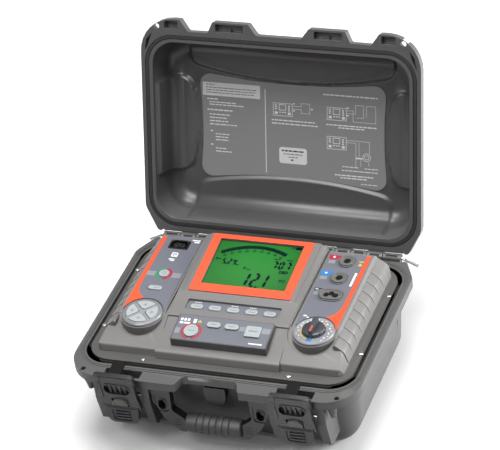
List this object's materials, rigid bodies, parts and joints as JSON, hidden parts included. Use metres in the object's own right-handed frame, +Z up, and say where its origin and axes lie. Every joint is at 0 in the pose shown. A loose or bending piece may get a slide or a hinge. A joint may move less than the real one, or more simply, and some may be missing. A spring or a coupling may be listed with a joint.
{
  "type": "insulation resistance tester",
  "caption": "Insulation resistance tester built into a hard carrying case with a hinged lid, draw latches, folding handle, backlit display, range dial, keys and test sockets.",
  "frame": {"origin": "centre of the base's flat underside", "axes": "+Z up from the resting face, +X to the user's right, -Y to the front with the handle and latches, +Y to the hinges"},
  "size_m": [0.389, 0.4515, 0.3966],
  "materials": {
    "case_plastic": "fine texture",
    "black_plastic": "satin",
    "seal_rubber": "matt",
    "grip_rubber": "ribbed",
    "panel_plastic": "fine texture",
    "overlay_film": "printed film",
    "orange_film": "printed film",
    "key_rubber": "satin",
    "steel": "bright",
    "window": "clear",
    "lcd": "backlit",
    "label_film": "printed film",
    "circuit_board": "solder mask",
    "battery_wrap": "shrink wrap",
    "white_plastic": "gloss"
  },
  "bodies": {
    "case": {"base_shell": "case_plastic", "pressure_valve": "black_plastic", "hinge_pin_left": "steel", "hinge_pin_right": "steel", "handle_pin_left": "steel", "handle_pin_right": "steel", "latch_pin_left": "steel", "latch_pin_right": "steel", "front_panel": "panel_plastic", "left_overlay": "overlay_film", "right_overlay": "overlay_film", "key_plate": "black_plastic", "display_bezel": "orange_film", "display_window": "window", "lcd_module": "lcd", "nav_ring": "steel", "dial_scale": "key_rubber", "rotary_switch": "circuit_board", "socket_plus": "black_plastic", "socket_guard": "black_plastic", "socket_minus": "black_plastic", "terminal_board": "circuit_board", "mains_inlet": "black_plastic", "usb_port": "white_plastic", "main_board": "circuit_board", "battery_pack": "battery_wrap", "hv_transformer": "black_plastic", "panel_screw_1": "steel", "panel_screw_2": "steel", "panel_screw_3": "steel", "panel_screw_4": "steel", "panel_screw_5": "steel", "panel_screw_6": "steel"},
    "lid": {"lid_shell": "case_plastic", "lid_gasket": "seal_rubber", "lid_label": "label_film"},
    "handle": {"handle_frame": "black_plastic", "handle_grip": "grip_rubber"},
    "left_claw": {"latch_claw_left": "black_plastic"},
    "left_lever": {"latch_lever_left": "black_plastic"},
    "left_button": {"latch_button_left": "case_plastic"},
    "right_claw": {"latch_claw_right": "black_plastic"},
    "right_lever": {"latch_lever_right": "black_plastic"},
    "right_button": {"latch_button_right": "case_plastic"},
    "dial": {"dial_knob": "black_plastic"},
    "function_key_1": {"function_key_1": "key_rubber"},
    "function_key_2": {"function_key_2": "key_rubber"},
    "function_key_3": {"function_key_3": "key_rubber"},
    "function_key_4": {"function_key_4": "key_rubber"},
    "function_key_5": {"function_key_5": "key_rubber"},
    "enter_key_left": {"enter_key_left": "key_rubber"},
    "enter_key_right": {"enter_key_right": "key_rubber"},
    "menu_key": {"menu_key": "key_rubber"},
    "start_key": {"start_key": "key_rubber"},
    "power_key": {"power_key": "key_rubber"},
    "light_key": {"light_key": "key_rubber"},
    "arrow_key_up": {"arrow_key_up": "key_rubber"},
    "arrow_key_left": {"arrow_key_left": "key_rubber"},
    "arrow_key_down": {"arrow_key_down": "key_rubber"},
    "arrow_key_right": {"arrow_key_right": "key_rubber"}
  },
  "joints": [
    {"name": "lid_hinge", "type": "hinge", "parent": "case", "child": "lid", "pos_m": [0, 0.143, 0.1123], "axis": [1, 0, 0], "range_deg": [0, 108.86]},
    {"name": "handle_swing", "type": "hinge", "parent": "case", "child": "handle", "pos_m": [0, -0.147, 0.088], "axis": [-1, 0, 0], "range_deg": [0, 90]},
    {"name": "left_claw_swing", "type": "hinge", "parent": "case", "child": "left_claw", "pos_m": [-0.118, -0.15, 0.08], "axis": [1, 0, 0], "range_deg": [-9, 55]},
    {"name": "left_lever_flip", "type": "hinge", "parent": "left_claw", "child": "left_lever", "pos_m": [-0.118, -0.16129, 0.07011], "axis": [-1, 0, 0], "range_deg": [-6, 75]},
    {"name": "left_button_press", "type": "slide", "parent": "left_claw", "child": "left_button", "axis": [0, 0.9877, 0.1564], "range_m": [0, 0.002], "stiffness_N_per_m": 400, "springref_m": -0.001},
    {"name": "right_claw_swing", "type": "hinge", "parent": "case", "child": "right_claw", "pos_m": [0.118, -0.15, 0.08], "axis": [1, 0, 0], "range_deg": [-9, 55]},
    {"name": "right_lever_flip", "type": "hinge", "parent": "right_claw", "child": "right_lever", "pos_m": [0.118, -0.16129, 0.07011], "axis": [-1, 0, 0], "range_deg": [-6, 75]},
    {"name": "right_button_press", "type": "slide", "parent": "right_claw", "child": "right_button", "axis": [0, 0.9877, 0.1564], "range_m": [0, 0.002], "stiffness_N_per_m": 400, "springref_m": -0.001},
    {"name": "dial_turn", "type": "hinge", "parent": "case", "child": "dial", "pos_m": [0.1171, -0.0609, 0.14414], "axis": [0, -0.0202, 0.9998], "range_deg": [-135, 135]},
    {"name": "function_key_1_press", "type": "slide", "parent": "case", "child": "function_key_1", "axis": [0, 0.1513, -0.9885], "range_m": [0, 0.001], "stiffness_N_per_m": 400, "springref_m": -0.001},
    {"name": "function_key_2_press", "type": "slide", "parent": "case", "child": "function_key_2", "axis": [0, 0.1513, -0.9885], "range_m": [0, 0.001], "stiffness_N_per_m": 400, "springref_m": -0.001},
    {"name": "function_key_3_press", "type": "slide", "parent": "case", "child": "function_key_3", "axis": [0, 0.1513, -0.9885], "range_m": [0, 0.001], "stiffness_N_per_m": 400, "springref_m": -0.001},
    {"name": "function_key_4_press", "type": "slide", "parent": "case", "child": "function_key_4", "axis": [0, 0.1513, -0.9885], "range_m": [0, 0.001], "stiffness_N_per_m": 400, "springref_m": -0.001},
    {"name": "function_key_5_press", "type": "slide", "parent": "case", "child": "function_key_5", "axis": [0, 0.1513, -0.9885], "range_m": [0, 0.001], "stiffness_N_per_m": 400, "springref_m": -0.001},
    {"name": "enter_key_left_press", "type": "slide", "parent": "case", "child": "enter_key_left", "axis": [0, 0.2011, -0.9796], "range_m": [0, 0.001], "stiffness_N_per_m": 400, "springref_m": -0.001},
    {"name": "enter_key_right_press", "type": "slide", "parent": "case", "child": "enter_key_right", "axis": [0, 0.2011, -0.9796], "range_m": [0, 0.001], "stiffness_N_per_m": 400, "springref_m": -0.001},
    {"name": "menu_key_press", "type": "slide", "parent": "case", "child": "menu_key", "axis": [0, 0.2011, -0.9796], "range_m": [0, 0.001], "stiffness_N_per_m": 400, "springref_m": -0.001},
    {"name": "start_key_press", "type": "slide", "parent": "case", "child": "start_key", "axis": [0, 0.2011, -0.9796], "range_m": [0, 0.001], "stiffness_N_per_m": 400, "springref_m": -0.001},
    {"name": "power_key_press", "type": "slide", "parent": "case", "child": "power_key", "axis": [0, 0.0202, -0.9998], "range_m": [0, 0.001], "stiffness_N_per_m": 400, "springref_m": -0.001},
    {"name": "light_key_press", "type": "slide", "parent": "case", "child": "light_key", "axis": [0, 0.0202, -0.9998], "range_m": [0, 0.001], "stiffness_N_per_m": 400, "springref_m": -0.001},
    {"name": "arrow_key_up_press", "type": "slide", "parent": "case", "child": "arrow_key_up", "axis": [0, 0.0202, -0.9998], "range_m": [0, 0.001], "stiffness_N_per_m": 400, "springref_m": -0.001},
    {"name": "arrow_key_left_press", "type": "slide", "parent": "case", "child": "arrow_key_left", "axis": [0, 0.0202, -0.9998], "range_m": [0, 0.001], "stiffness_N_per_m": 400, "springref_m": -0.001},
    {"name": "arrow_key_down_press", "type": "slide", "parent": "case", "child": "arrow_key_down", "axis": [0, 0.0202, -0.9998], "range_m": [0, 0.001], "stiffness_N_per_m": 400, "springref_m": -0.001},
    {"name": "arrow_key_right_press", "type": "slide", "parent": "case", "child": "arrow_key_right", "axis": [0, 0.0202, -0.9998], "range_m": [0, 0.001], "stiffness_N_per_m": 400, "springref_m": -0.001}
  ]
}
